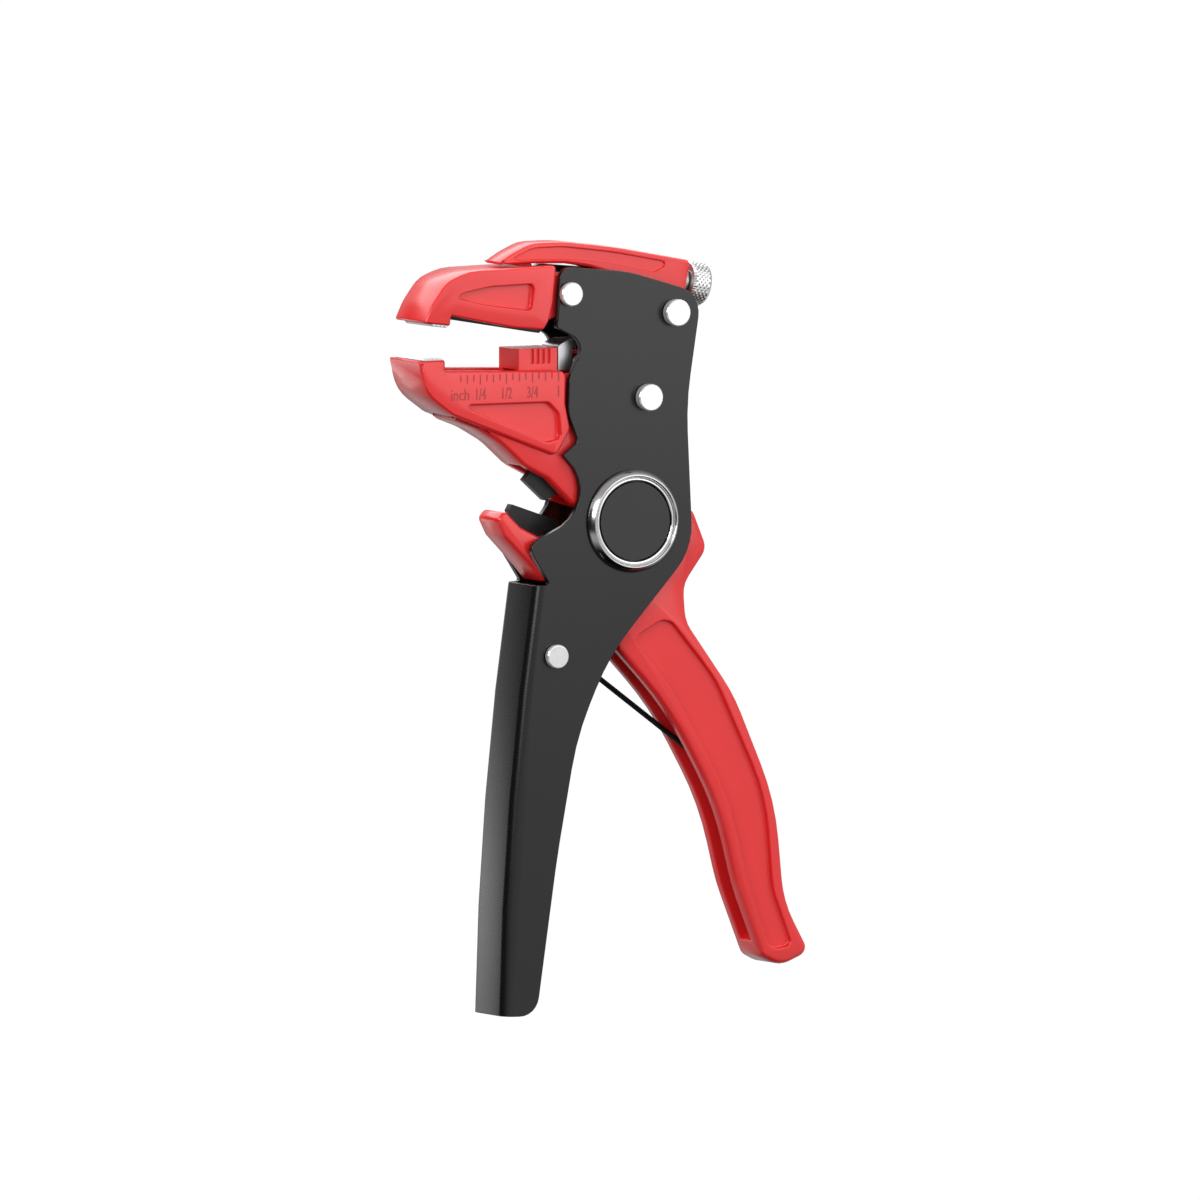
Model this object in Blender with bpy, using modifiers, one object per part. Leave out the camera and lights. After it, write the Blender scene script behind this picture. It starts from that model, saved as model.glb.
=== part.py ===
"""Duckbill wire stripper: a folded steel frame, a fixed lower jaw, a closing upper jaw,
a sprung moving handle with a wire cutter in its throat, and sliding stripping blades.

Sizes are in millimetres and MM turns them into Blender's metres. X runs from the jaw tips
back to the adjusting knob, Y across the tool with the near side at -Y, and Z up.
The origin is the middle of the main pivot.
"""
import math

import bmesh
import bpy
from mathutils import Matrix, Vector

MM = 0.001

# Clearances and sheet
FIT = 0.3
OVERSHOOT = 4.0
SHEET = 1.5
FRAME_WIDTH = 15.0
FOLD_RADIUS = 3.0
ARC_STEP = math.radians(16)
CHORD_ERROR = 0.05

# Layers across the tool, worked out from the frame outwards in
PLATE_INNER = FRAME_WIDTH / 2 - SHEET
CHEEK_OUTER = PLATE_INNER - FIT
ARM_WIDTH = 5.2
ARM_HALF = ARM_WIDTH / 2
CHEEK_INNER = ARM_HALF + FIT
JAW_WIDTH = 14.3
JAW_HALF = JAW_WIDTH / 2
LEVER_WIDTH = 7.2
LEVER_HALF = LEVER_WIDTH / 2

# Pivot and rivet centres (x, z)
PIVOT = (0.0, 0.0)
JAW_PIN = (-15.4, 49.6)
LEVER_PIN = (10.2, 44.8)
STOP_PIN = (3.5, 26.7)
SPRING_PIN = (-18.9, -28.6)

# Rivets: head radius, head height, shank radius
SMALL_HEAD = 2.6
SMALL_HEAD_RISE = 1.3
LARGE_HEAD = 2.95
LARGE_HEAD_RISE = 1.9
SHANK = 1.6
LEVER_SHANK = 1.9
HEAD_CHAMFER = 0.25

# Main pivot
AXLE_RADIUS = 4.0
HUB_RADIUS = 8.2
JAW_BOSS_RADIUS = 7.6
RING_OUTER = 11.15
RING_INNER = 8.75
RING_LIP = 9.5
RING_RISE = 1.7
CAP_RISE = 1.0
RING_STEPS = 40

# Frame outline
FOLD_BOTTOM = -106.2
FOLD_TOP = -13.2
FOLD_FOOT_X = -31.5
FOLD_LEAN = 0.0183
FOLD_CURVE = 0.00075
FOLD_POINTS = 8
NOTCH_WIDTH = FOLD_RADIUS + FIT

# Cutter throat, shared by the side plates and the handle's nose
THROAT = (-21.5, 6.9)
THROAT_RADIUS = 8.7
SCOOP = (-16.2, 37.4)
SCOOP_RADIUS = 3.5

# Lower jaw
WALL_TOP = 33.6
CHANNEL_HALF = ARM_HALF + FIT
CHANNEL_FLOOR = 28.0
GUIDE_HALF = 4.9
GUIDE_FLOOR = 31.6
JAW_EDGE = 0.5
WEB_EDGE = 1.1
POCKET_DEPTH = 1.4
LOWER_TIP_TOP = 36.3
LOWER_TIP_REAR = -45.4
JAW_REAR = -15.9

# Grip inserts
INSERT_THICKNESS = 1.9
INSERT_HALF = 6.4
LOWER_TEETH = 5
UPPER_TEETH = 4
TOOTH_PITCH = 0.95
TOOTH_DEPTH = 0.35
UPPER_FACE_TILT = math.radians(7)
LOWER_GRIP = (-50.25, 36.7)
LOWER_GRIP_ALONG = (1.0, 0.0)
LOWER_GRIP_AWAY = (0.0, -1.0)
UPPER_GRIP = (-44.5, 43.1)
UPPER_GRIP_ALONG = (-math.cos(UPPER_FACE_TILT), math.sin(UPPER_FACE_TILT))
UPPER_GRIP_AWAY = (math.sin(UPPER_FACE_TILT), math.cos(UPPER_FACE_TILT))

# Stripping blades and what pulls them
BAR_HALF = 2.5
LOWER_BAR_TOP = 32.4
LOWER_BAR_FRONT = -43.3
LOWER_BAR_REAR = -16.6
BLADE_RISE = 0.6
LINK_PIN = (-11.28, 34.7)
LINK_PIN_RADIUS = 1.25
YOKE_BOTTOM = 32.9
YOKE_TOP = 39.5
YOKE_HALF = 3.9
YOKE_WEB = 1.5
YOKE_PRONG = 1.3

# Upper jaw
UPPER_SLOPE = math.radians(-9.7)
UPPER_BAR_START = (-43.6, 45.0)
UPPER_BAR_HEIGHT = 3.2
UPPER_BAR_LENGTH = 24.0
NECK_BOSS = 4.4

# Strip stop
STOP_FRONT = -26.3
STOP_REAR = -16.8
STOP_TOP = 37.9
STOP_GROOVES = 4
STOP_GROOVE_WIDTH = 0.7
STOP_GROOVE_DEPTH = 0.6
STOP_GROOVE_PITCH = 1.33
STOP_GROOVE_START = -23.3
STOP_GROOVE_FOOT = 34.6

# Wire cutter
CUTTER_THICKNESS = 2.1
CUTTER_GAP = 0.3
CUTTER_PIN_RADIUS = 1.1
CUTTER_PIN_REACH = 4.2
FIXED_CUTTER_PIN = (-15.2, 10.4)
MOVING_CUTTER_PIN = (-18.0, -3.9)

# Moving handle
HANDLE_HALF = CHEEK_OUTER
HANDLE_EDGE = 1.5
NOSE_HALF = 5.0
NOSE_EDGE = 1.0
ARM_END = 2.5
SLOT_HALF = 2.5
SLOT_DEPTH = 8.0
PANEL_DEPTH = 1.2

# Return spring
WIRE_RADIUS = 0.45
COIL_RADIUS = 4.05
COIL_TURNS = 2.75
COIL_STEPS = 10
COIL_PITCH = 1.25
LEG_OFFSET = 0.65
LEG_ANGLE = math.radians(-36.5)
LEG_LENGTH = 44.5
SLEEVE_RADIUS = 3.1

# Top lever and knob
LEVER_EDGE = 0.65
LEVER_PANEL_DEPTH = 0.5
LEVER_BOSS = 4.0
KNOB_TILT = math.radians(11)
KNOB_CENTRE = (18.85, 50.3)
KNOB_RADIUS = 4.8
KNOB_LENGTH = 4.4
KNOB_TEETH = 24
KNURL_DEPTH = 0.25
KNOB_WALL = 1.2
SCREW_RADIUS = 1.5
SCREW_LENGTH = 9.0
WASHER_RADIUS = 2.6
WASHER_THICKNESS = 0.7


def fold_x(z):
    """Front face of the fold at height z: a slightly bowed, leaning line."""
    height = z - FOLD_BOTTOM
    return FOLD_FOOT_X + FOLD_LEAN * height + FOLD_CURVE * height * height


def polar(centre, radius, degrees):
    """Point at an angle from +X about a centre."""
    angle = math.radians(degrees)
    return (centre[0] + radius * math.cos(angle), centre[1] + radius * math.sin(angle))


def swung(radius, degrees):
    """Point at an angle left of straight up about the main pivot."""
    return polar(PIVOT, radius, 90 + degrees)


def arc(centre, radius, start, end):
    """Sharp outline corners along an arc, in degrees from +X."""
    steps = max(2, math.ceil(abs(math.radians(end - start)) / ARC_STEP))
    turns = (start + (end - start) * step / steps for step in range(steps + 1))
    return [(*polar(centre, radius, turn), 0) for turn in turns]


def rounded(corners):
    """Points of a closed outline whose corners (x, z, radius) are filleted."""
    points = []
    count = len(corners)
    for index, (x, z, radius) in enumerate(corners):
        here = Vector((x, z))
        before = Vector(corners[index - 1][:2]) - here
        after = Vector(corners[(index + 1) % count][:2]) - here
        turn = before.angle(after)
        if radius == 0 or turn > math.radians(179):
            points.append(here)
            continue
        reach = min(radius / math.tan(turn / 2), before.length / 2, after.length / 2)
        radius = reach * math.tan(turn / 2)
        inward = (before.normalized() + after.normalized()).normalized()
        centre = here + inward * radius / math.sin(turn / 2)
        start = here + before.normalized() * reach - centre
        end = here + after.normalized() * reach - centre
        sweep = -start.angle_signed(end)
        step_angle = min(ARC_STEP, math.sqrt(8 * CHORD_ERROR / radius))
        steps = max(1, math.ceil(abs(sweep) / step_angle))
        for step in range(steps + 1):
            spoke = start.copy()
            spoke.rotate(Matrix.Rotation(sweep * step / steps, 2))
            points.append(centre + spoke)
    distinct = []
    for point in points:
        if not distinct or (point - distinct[-1]).length > 0.01:
            distinct.append(point)
    return distinct


def collection(name):
    group = bpy.data.collections.new(name)
    bpy.context.scene.collection.children.link(group)
    return group


def clear_scene():
    for old in list(bpy.data.objects):
        bpy.data.objects.remove(old, do_unlink=True)
    for old in list(bpy.data.collections):
        bpy.data.collections.remove(old)


clear_scene()
PARTS = collection("duckbill_wire_stripper")
CUTTERS = collection("cutters")


def material(name, colour, roughness, metallic=0.0):
    surface = bpy.data.materials.new(name)
    surface.use_nodes = True
    shader = surface.node_tree.nodes["Principled BSDF"]
    shader.inputs["Base Color"].default_value = (*colour, 1)
    shader.inputs["Roughness"].default_value = roughness
    shader.inputs["Metallic"].default_value = metallic
    surface.diffuse_color = (*colour, 1)
    return surface


RED = ("red_enamel", (0.66, 0.03, 0.04), 0.35, 0.0)
BLACK_SHEET = ("black_sheet_steel", (0.05, 0.05, 0.055), 0.45, 0.3)
CHROME = ("bright_rivet_steel", (0.82, 0.82, 0.83), 0.15, 1.0)
BLADE_STEEL = ("blackened_blade_steel", (0.08, 0.08, 0.09), 0.35, 0.8)
BRIGHT_STEEL = ("ground_steel", (0.62, 0.62, 0.64), 0.3, 1.0)
SPRING_STEEL = ("black_spring_steel", (0.02, 0.02, 0.022), 0.35, 0.7)
CAP_GREY = ("dark_grey_cap", (0.07, 0.07, 0.075), 0.5, 0.2)


def finish(obj, look):
    """Make an object a part: its own material, and smooth round faces."""
    name, colour, roughness, metallic = look
    obj.data.materials.clear()
    obj.data.materials.append(material(f"{obj.name}_{name}", colour, roughness, metallic))
    obj.data.shade_smooth()
    obj.data.set_sharp_from_angle(angle=math.radians(35))
    return obj


def add_object(name, bm):
    mesh = bpy.data.meshes.new(name)
    bm.to_mesh(mesh)
    bm.free()
    obj = bpy.data.objects.new(name, mesh)
    PARTS.objects.link(obj)
    return obj


def as_mesh(curve_object):
    """Swap a curve object for a closed mesh object in the same place."""
    bpy.context.view_layer.update()
    evaluated = curve_object.evaluated_get(bpy.context.evaluated_depsgraph_get())
    mesh = bpy.data.meshes.new_from_object(evaluated)
    bm = bmesh.new()
    bm.from_mesh(mesh)
    bmesh.ops.remove_doubles(bm, verts=bm.verts, dist=0.002 * MM)
    bmesh.ops.dissolve_limit(
        bm, angle_limit=math.radians(0.2), verts=bm.verts, edges=bm.edges
    )
    bmesh.ops.recalc_face_normals(bm, faces=bm.faces)
    bm.to_mesh(mesh)
    bm.free()
    obj = bpy.data.objects.new(curve_object.name, mesh)
    PARTS.objects.link(obj)
    obj.matrix_world = curve_object.matrix_world
    name = curve_object.name
    bpy.data.objects.remove(curve_object)
    obj.name = name
    return obj


def flat(name, corners, y_from, y_to, edge=0.0):
    """Outline in XZ extruded along Y, with its rims rounded over by edge."""
    curve = bpy.data.curves.new(name, "CURVE")
    curve.dimensions = "2D"
    curve.fill_mode = "BOTH"
    curve.extrude = (abs(y_to - y_from) / 2 - edge) * MM
    if edge:
        curve.bevel_depth = edge * MM
        curve.bevel_resolution = 1
        curve.offset = -edge * MM
    points = rounded(corners)
    spline = curve.splines.new("POLY")
    spline.points.add(len(points) - 1)
    for point, place in zip(spline.points, points):
        point.co = (place.x * MM, place.y * MM, 0, 1)
    spline.use_cyclic_u = True
    obj = bpy.data.objects.new(name, curve)
    PARTS.objects.link(obj)
    obj.rotation_euler = (math.pi / 2, 0, 0)
    obj.location = (0, (y_from + y_to) / 2 * MM, 0)
    return as_mesh(obj)


def slab(name, corners, half, edge=0.0):
    return flat(name, corners, -half, half, edge)


def box(name, x, y, z):
    """Box between the pairs x, y and z."""
    bm = bmesh.new()
    bmesh.ops.create_cube(bm, size=1)
    size = [(pair[1] - pair[0]) * MM for pair in (x, y, z)]
    middle = Vector([(pair[0] + pair[1]) / 2 * MM for pair in (x, y, z)])
    bmesh.ops.scale(bm, vec=size, verts=bm.verts)
    obj = add_object(name, bm)
    obj.location = middle
    return obj


def round_bar(name, centre, radius, y, steps=24):
    """Cylinder along Y at a centre (x, z)."""
    bm = bmesh.new()
    bmesh.ops.create_cone(
        bm, cap_ends=True, segments=steps, radius1=radius * MM, radius2=radius * MM,
        depth=(y[1] - y[0]) * MM,
    )
    obj = add_object(name, bm)
    obj.rotation_euler = (math.pi / 2, 0, 0)
    obj.location = (centre[0] * MM, (y[0] + y[1]) / 2 * MM, centre[1] * MM)
    return obj


def turned(name, profile, centre, steps=32):
    """Turn a profile of (radius, y) pairs, near side first, about a Y axis at (x, z)."""
    mesh = bpy.data.meshes.new(name)
    bm = bmesh.new()
    verts = [bm.verts.new((radius * MM, 0, -y * MM)) for radius, y in profile]
    for one, two in zip(verts, verts[1:]):
        bm.edges.new((one, two))
    bm.to_mesh(mesh)
    bm.free()
    obj = bpy.data.objects.new(name, mesh)
    PARTS.objects.link(obj)
    obj.rotation_euler = (math.pi / 2, 0, 0)
    obj.location = (centre[0] * MM, 0, centre[1] * MM)
    screw = obj.modifiers.new("turn", "SCREW")
    screw.steps = screw.render_steps = steps
    screw.use_merge_vertices = True
    screw.merge_threshold = 0.005 * MM
    return obj


def cutter(obj):
    """Hide an object that only shapes another."""
    PARTS.objects.unlink(obj)
    CUTTERS.objects.link(obj)
    obj.hide_render = True
    obj.display_type = "WIRE"
    return obj


def combine(obj, tools, operation):
    for tool in tools:
        step = obj.modifiers.new(tool.name, "BOOLEAN")
        step.operation = operation
        step.object = cutter(tool)
        step.solver = "EXACT"


def cut(obj, *tools):
    combine(obj, tools, "DIFFERENCE")


def join(obj, *tools):
    combine(obj, tools, "UNION")


def bore(obj, name, centre, radius, steps=24):
    """Round hole right through an object along Y."""
    reach = FRAME_WIDTH / 2 + OVERSHOOT
    cut(obj, round_bar(f"{name}_bore", centre, radius, (-reach, reach), steps))


def round_fold(obj, inset, radius):
    """Bevel an object's edges that run along the fold, set back by inset."""
    mesh = obj.data
    weights = mesh.attributes.new("bevel_weight_edge", "FLOAT", "EDGE")
    for edge in mesh.edges:
        ends = [obj.matrix_world @ mesh.vertices[index].co / MM for index in edge.vertices]
        along = all(abs(end.x - inset - fold_x(end.z)) < 0.02 for end in ends)
        if along and abs(ends[0].z - ends[1].z) > 1:
            weights.data[edge.index].value = 1.0
    bevel = obj.modifiers.new("fold", "BEVEL")
    bevel.limit_method = "WEIGHT"
    bevel.width = radius * MM
    bevel.segments = 4


def fold_line(bottom, top, inset):
    """Corners up the fold from bottom to top, set back by inset."""
    heights = [bottom + (top - bottom) * step / FOLD_POINTS for step in range(FOLD_POINTS + 1)]
    return [(fold_x(z) + inset, z, 0) for z in heights]


def make_frame():
    """One steel sheet folded into a U: two side plates and the fixed handle's front."""
    front = [
        *fold_line(FOLD_BOTTOM, FOLD_TOP, 0),
        (fold_x(FOLD_TOP) + NOTCH_WIDTH, FOLD_TOP, 0.5),
        (-25.6, -4.6, 2.2),
        *arc(THROAT, THROAT_RADIUS, -58, 50),
        (-16.9, 14.7, 0.5),
        (-13.2, 17.6, 1.6),
        (-15.7, 24.0, 6.0),
        (-15.4, 31.0, 4.0),
        *arc(SCOOP, SCOOP_RADIUS, -52, 62),
        (-18.5, 42.4, 0.5),
    ]
    back = [
        (-17.4, 55.6, 2.4),
        (-1.0, 54.0, 30.0),
        (17.0, 48.7, 6.0),
        (13.3, 25.0, 60.0),
        (14.8, -6.5, 14.0),
        (-5.6, -29.0, 50.0),
        (-13.4, -46.0, 60.0),
        (-18.3, -72.0, 150.0),
        (-23.4, -106.4, 8.0),
    ]
    frame = slab("frame_body", front + back, FRAME_WIDTH / 2)
    bpy.context.view_layer.update()
    round_fold(frame, 0, FOLD_RADIUS)
    below = FOLD_BOTTOM - OVERSHOOT
    inside = slab(
        "frame_inside",
        [
            *fold_line(below, FOLD_TOP + FIT / 2, SHEET),
            (-60, FOLD_TOP + FIT / 2, 0),
            (-60, 70, 0),
            (60, 70, 0),
            (60, below, 0),
        ],
        PLATE_INNER,
    )
    bpy.context.view_layer.update()
    round_fold(inside, SHEET, FOLD_RADIUS - SHEET)
    cut(frame, inside)
    for name, centre, radius in (
        ("jaw", JAW_PIN, SHANK), ("lever", LEVER_PIN, LEVER_SHANK), ("stop", STOP_PIN, SHANK),
        ("spring", SPRING_PIN, SHANK),
    ):
        bore(frame, f"frame_{name}", centre, radius + FIT)
    bore(frame, "frame_pivot", PIVOT, AXLE_RADIUS + FIT, 32)
    return finish(frame, BLACK_SHEET)


def jaw_pocket(name, corners, side):
    """Shallow pocket in one side of a jaw."""
    inner = side * (JAW_HALF - POCKET_DEPTH)
    outer = side * (JAW_HALF + OVERSHOOT)
    return flat(name, corners, min(inner, outer), max(inner, outer))


def make_lower_jaw():
    """Fixed jaw: a ruled pad outside the frame and a fork of two cheeks inside it."""
    jaw = slab(
        "lower_jaw",
        [
            (-51.8, LOWER_TIP_TOP, 0),
            (LOWER_TIP_REAR, LOWER_TIP_TOP, 0),
            (LOWER_TIP_REAR, WALL_TOP + 0.3, 0.4),
            (-44.0, WALL_TOP + 0.3, 0),
            (JAW_REAR, WALL_TOP - 0.6, 1.6),
            (JAW_REAR - 0.2, 26.0, 3.0),
            (-14.9, 20.4, 1.6),
            (-18.3, 14.7, 1.6),
            (-43.5, 24.3, 3.0),
            (-50.3, 29.2, 9.0),
        ],
        JAW_HALF,
        JAW_EDGE,
    )
    cheeks = slab(
        "lower_jaw_cheeks",
        [
            (-43.0, 25.5, 0),
            (-42.0, 23.0, 2.0),
            (-36.5, 20.9, 8.0),
            (-30.8, 17.6, 8.0),
            (-25.1, 12.5, 6.0),
            (-19.3, 9.5, 3.0),
            (-13.6, 4.0, 1.2),
            *arc(PIVOT, JAW_BOSS_RADIUS, 164, 355),
            *arc(STOP_PIN, 4.6, 5, 95),
            (-10.0, 32.6, 6.0),
            (-17.5, 32.6, 0),
        ],
        CHEEK_OUTER,
        WEB_EDGE,
    )
    join(jaw, cheeks)
    guide = box(
        "guide_channel", (-43.9, 0), (-GUIDE_HALF, GUIDE_HALF), (GUIDE_FLOOR, WALL_TOP + 5)
    )
    channel = box(
        "bar_channel", (-43.9, -8), (-CHANNEL_HALF, CHANNEL_HALF), (CHANNEL_FLOOR, 45)
    )
    arm_space = slab(
        "arm_space",
        [(-15.0, 50, 0), (-15.0, 22, 2), (-11.0, 12, 2), (-9.2, 4, 0), (-14.6, 6, 0),
         (-14.6, -20, 0), (30, -20, 0), (30, 50, 0)],
        CHEEK_INNER,
    )
    blade_space = slab(
        "fixed_cutter_space",
        [(-27.0, 9.0, 0), (-24.5, 13.0, 1.0), (-19.5, 15.6, 2.0), (-11.8, 13.4, 1.0),
         (-11.0, 2.0, 0), (-22.0, 2.0, 0)],
        CUTTER_THICKNESS + 0.45,
    )
    cut(jaw, guide, channel, arm_space, blade_space)
    pocket = [
        (-41.6, 26.4, 0.5), (-20.2, 26.4, 2.0), (-17.6, 23.8, 2.0), (-17.3, 18.3, 1.4),
        (-20.6, 17.7, 1.8),
    ]
    for side, name in ((-1, "near"), (1, "far")):
        cut(jaw, jaw_pocket(f"lower_pocket_{name}", pocket, side))
    cut(jaw, grip_seat(
        "lower_insert_seat", LOWER_GRIP, LOWER_GRIP_ALONG, LOWER_GRIP_AWAY, LOWER_TEETH
    ))
    bore(jaw, "lower_jaw_pivot", PIVOT, AXLE_RADIUS + FIT, 32)
    bore(jaw, "lower_jaw_stop", STOP_PIN, SHANK + FIT)
    blind_bore(
        jaw, "lower_jaw_cutter", FIXED_CUTTER_PIN, CUTTER_PIN_RADIUS + FIT,
        CUTTER_PIN_REACH + FIT,
    )
    return finish(jaw, RED)



def grip_outline(corner, along, away, teeth):
    """Outline of a grip plate: its toothed face runs from a corner, its back lies away."""
    corner, along, away = Vector(corner), Vector(along), Vector(away)
    points = []
    for tooth in range(teeth):
        start = corner + along * TOOTH_PITCH * tooth
        points.append(start + away * TOOTH_DEPTH)
        points.append(start + along * TOOTH_PITCH / 2)
    end = corner + along * TOOTH_PITCH * teeth
    points += [end + away * TOOTH_DEPTH, end + away * INSERT_THICKNESS]
    points.append(corner + away * INSERT_THICKNESS)
    return [(point.x, point.y, 0) for point in points]


def grip_seat(name, corner, along, away, teeth):
    """Space that a grip plate sits in, open past its toothed face."""
    corner, along, away = Vector(corner), Vector(along), Vector(away)
    end = corner + along * TOOTH_PITCH * teeth
    out = away * -OVERSHOOT
    back = away * (INSERT_THICKNESS + FIT)
    gap = along * FIT
    points = [corner - gap + out, end + gap + out, end + gap + back, corner - gap + back]
    return slab(name, [(point.x, point.y, 0) for point in points], INSERT_HALF + FIT)


def make_upper_jaw():
    """Closing jaw: a pad outside the frame and a neck that turns on the jaw rivet."""
    jaw = slab(
        "upper_jaw",
        [
            (-50.5, 44.4, 0.5),
            (-48.6, 48.4, 10.0),
            (-45.0, 53.2, 7.0),
            (-39.5, 55.3, 12.0),
            (-18.3, 55.8, 0.8),
            (-19.0, 48.0, 0),
            (-20.2, 43.8, 1.5),
            (-21.4, 42.0, 1.0),
            (-29.3, 42.8, 12.0),
            (-43.9, 45.8, 0),
            (-44.2, 43.6, 0),
        ],
        JAW_HALF,
        JAW_EDGE,
    )
    neck = slab(
        "upper_jaw_neck",
        [(-27, 54.4, 0), (-27, 45, 0), (-20.6, 43.4, 1.0), *arc(JAW_PIN, NECK_BOSS, -100, 90)],
        CHEEK_OUTER,
        JAW_EDGE,
    )
    join(jaw, neck)
    relief = slab(
        "lever_relief",
        [(-26.3, 60, 0), (-26.3, 55.9, 0), (-22.4, 55.2, 0), (-17.5, 54.5, 0), (-17.5, 60, 0)],
        LEVER_HALF + FIT,
    )
    reach = UPPER_BAR_HEIGHT + FIT
    channel = slab(
        "upper_channel",
        [
            (*upper_bar_point(-FIT, reach), 0), (*upper_bar_point(40, reach), 0),
            (*upper_bar_point(40, -5), 0), (*upper_bar_point(-FIT, -5), 0),
        ],
        CHANNEL_HALF,
    )
    seat = grip_seat(
        "upper_insert_seat", UPPER_GRIP, UPPER_GRIP_ALONG, UPPER_GRIP_AWAY, UPPER_TEETH
    )
    cut(jaw, relief, channel, seat)
    pocket = [
        (-42.9, 49.6, 1.0), (-40.6, 50.7, 2.0), (-34.5, 51.8, 12.0), (-23.6, 52.1, 1.2),
        (-24.2, 46.2, 1.2), (-35.9, 47.9, 14.0),
    ]
    for side, name in ((-1, "near"), (1, "far")):
        cut(jaw, jaw_pocket(f"upper_pocket_{name}", pocket, side))
    bore(jaw, "upper_jaw_pivot", JAW_PIN, SHANK + FIT)
    return finish(jaw, RED)


def upper_bar_point(along, up):
    """Point set from the upper bar's lower front corner, along its slope and up from it."""
    cos, sin = math.cos(UPPER_SLOPE), math.sin(UPPER_SLOPE)
    return (
        UPPER_BAR_START[0] + along * cos - up * sin,
        UPPER_BAR_START[1] + along * sin + up * cos,
    )


def make_blades():
    """Stripping blades that slide in the jaws, and the yoke that draws the lower one back."""
    upper = slab(
        "upper_blade_bar",
        [
            (*upper_bar_point(0, UPPER_BAR_HEIGHT), 0),
            (*upper_bar_point(0, -BLADE_RISE), 0),
            (*upper_bar_point(0.5, -BLADE_RISE), 0),
            (*upper_bar_point(1.2, 0), 0),
            (*upper_bar_point(UPPER_BAR_LENGTH, 0), 0.4),
            (*upper_bar_point(UPPER_BAR_LENGTH, UPPER_BAR_HEIGHT), 0.4),
        ],
        BAR_HALF,
    )
    finish(upper, BLADE_STEEL)
    bottom = CHANNEL_FLOOR + FIT
    lower = slab(
        "lower_blade_bar",
        [
            (LOWER_BAR_FRONT, bottom, 0),
            (LOWER_BAR_FRONT, LOWER_BAR_TOP + BLADE_RISE, 0),
            (LOWER_BAR_FRONT + 0.5, LOWER_BAR_TOP + BLADE_RISE, 0),
            (LOWER_BAR_FRONT + 1.2, LOWER_BAR_TOP, 0),
            (LOWER_BAR_REAR, LOWER_BAR_TOP, 0.4),
            (LOWER_BAR_REAR, bottom, 0.4),
        ],
        BAR_HALF,
    )
    finish(lower, BLADE_STEEL)
    front = LOWER_BAR_REAR + FIT
    web = front + YOKE_WEB
    pin = LINK_PIN
    slot = LINK_PIN_RADIUS + FIT
    yoke = slab(
        "draw_yoke",
        [
            (front, YOKE_BOTTOM, 0), (front, YOKE_TOP - 1.2, 1.5), (front + 2.6, YOKE_TOP, 1.5),
            (pin[0] + slot + YOKE_PRONG, YOKE_TOP, 1.5),
            (pin[0] + slot + YOKE_PRONG, YOKE_BOTTOM, 0.5),
            (pin[0] + slot, YOKE_BOTTOM, 0), (pin[0] + slot, YOKE_TOP - 1.4, 1.0),
            (pin[0] - slot, YOKE_TOP - 1.4, 1.0), (pin[0] - slot, YOKE_BOTTOM, 0),
        ],
        YOKE_HALF,
    )
    tongue = box(
        "yoke_tongue", (front, web), (-BAR_HALF, BAR_HALF), (bottom, YOKE_BOTTOM + 1)
    )
    join(yoke, tongue)
    gap = box(
        "yoke_gap", (web, pin[0] + 10), (-CHEEK_INNER, CHEEK_INNER), (20, YOKE_TOP + 1)
    )
    cut(yoke, gap)
    finish(yoke, BRIGHT_STEEL)
    link = turned(
        "yoke_pin",
        [
            (0, -YOKE_HALF), (LINK_PIN_RADIUS, -YOKE_HALF), (LINK_PIN_RADIUS, YOKE_HALF),
            (0, YOKE_HALF),
        ],
        LINK_PIN,
        20,
    )
    finish(link, BRIGHT_STEEL)


def make_grips():
    lower = slab(
        "lower_grip_insert",
        grip_outline(LOWER_GRIP, LOWER_GRIP_ALONG, LOWER_GRIP_AWAY, LOWER_TEETH),
        INSERT_HALF,
    )
    finish(lower, BRIGHT_STEEL)
    upper = slab(
        "upper_grip_insert",
        grip_outline(UPPER_GRIP, UPPER_GRIP_ALONG, UPPER_GRIP_AWAY, UPPER_TEETH),
        INSERT_HALF,
    )
    finish(upper, BRIGHT_STEEL)


def make_strip_stop():
    """Ribbed block that slides along the lower jaw and sets the stripped length."""
    half = GUIDE_HALF - FIT
    stop = box(
        "strip_stop", (STOP_FRONT, STOP_REAR), (-half, half), (GUIDE_FLOOR + FIT, STOP_TOP)
    )
    passage = box(
        "stop_passage", (STOP_FRONT - 2, STOP_REAR + 2), (-CHANNEL_HALF, CHANNEL_HALF),
        (GUIDE_FLOOR - 2, LOWER_BAR_TOP + BLADE_RISE + FIT),
    )
    cut(stop, passage)
    for groove in range(STOP_GROOVES):
        start = STOP_GROOVE_START + groove * STOP_GROOVE_PITCH
        for side, name in ((-1, "near"), (1, "far")):
            depth = sorted((side * (half - STOP_GROOVE_DEPTH), side * (half + 1)))
            cut(stop, box(
                f"stop_groove_{name}_{groove}", (start, start + STOP_GROOVE_WIDTH), depth,
                (STOP_GROOVE_FOOT, STOP_TOP + 1),
            ))
    return finish(stop, RED)


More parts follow.
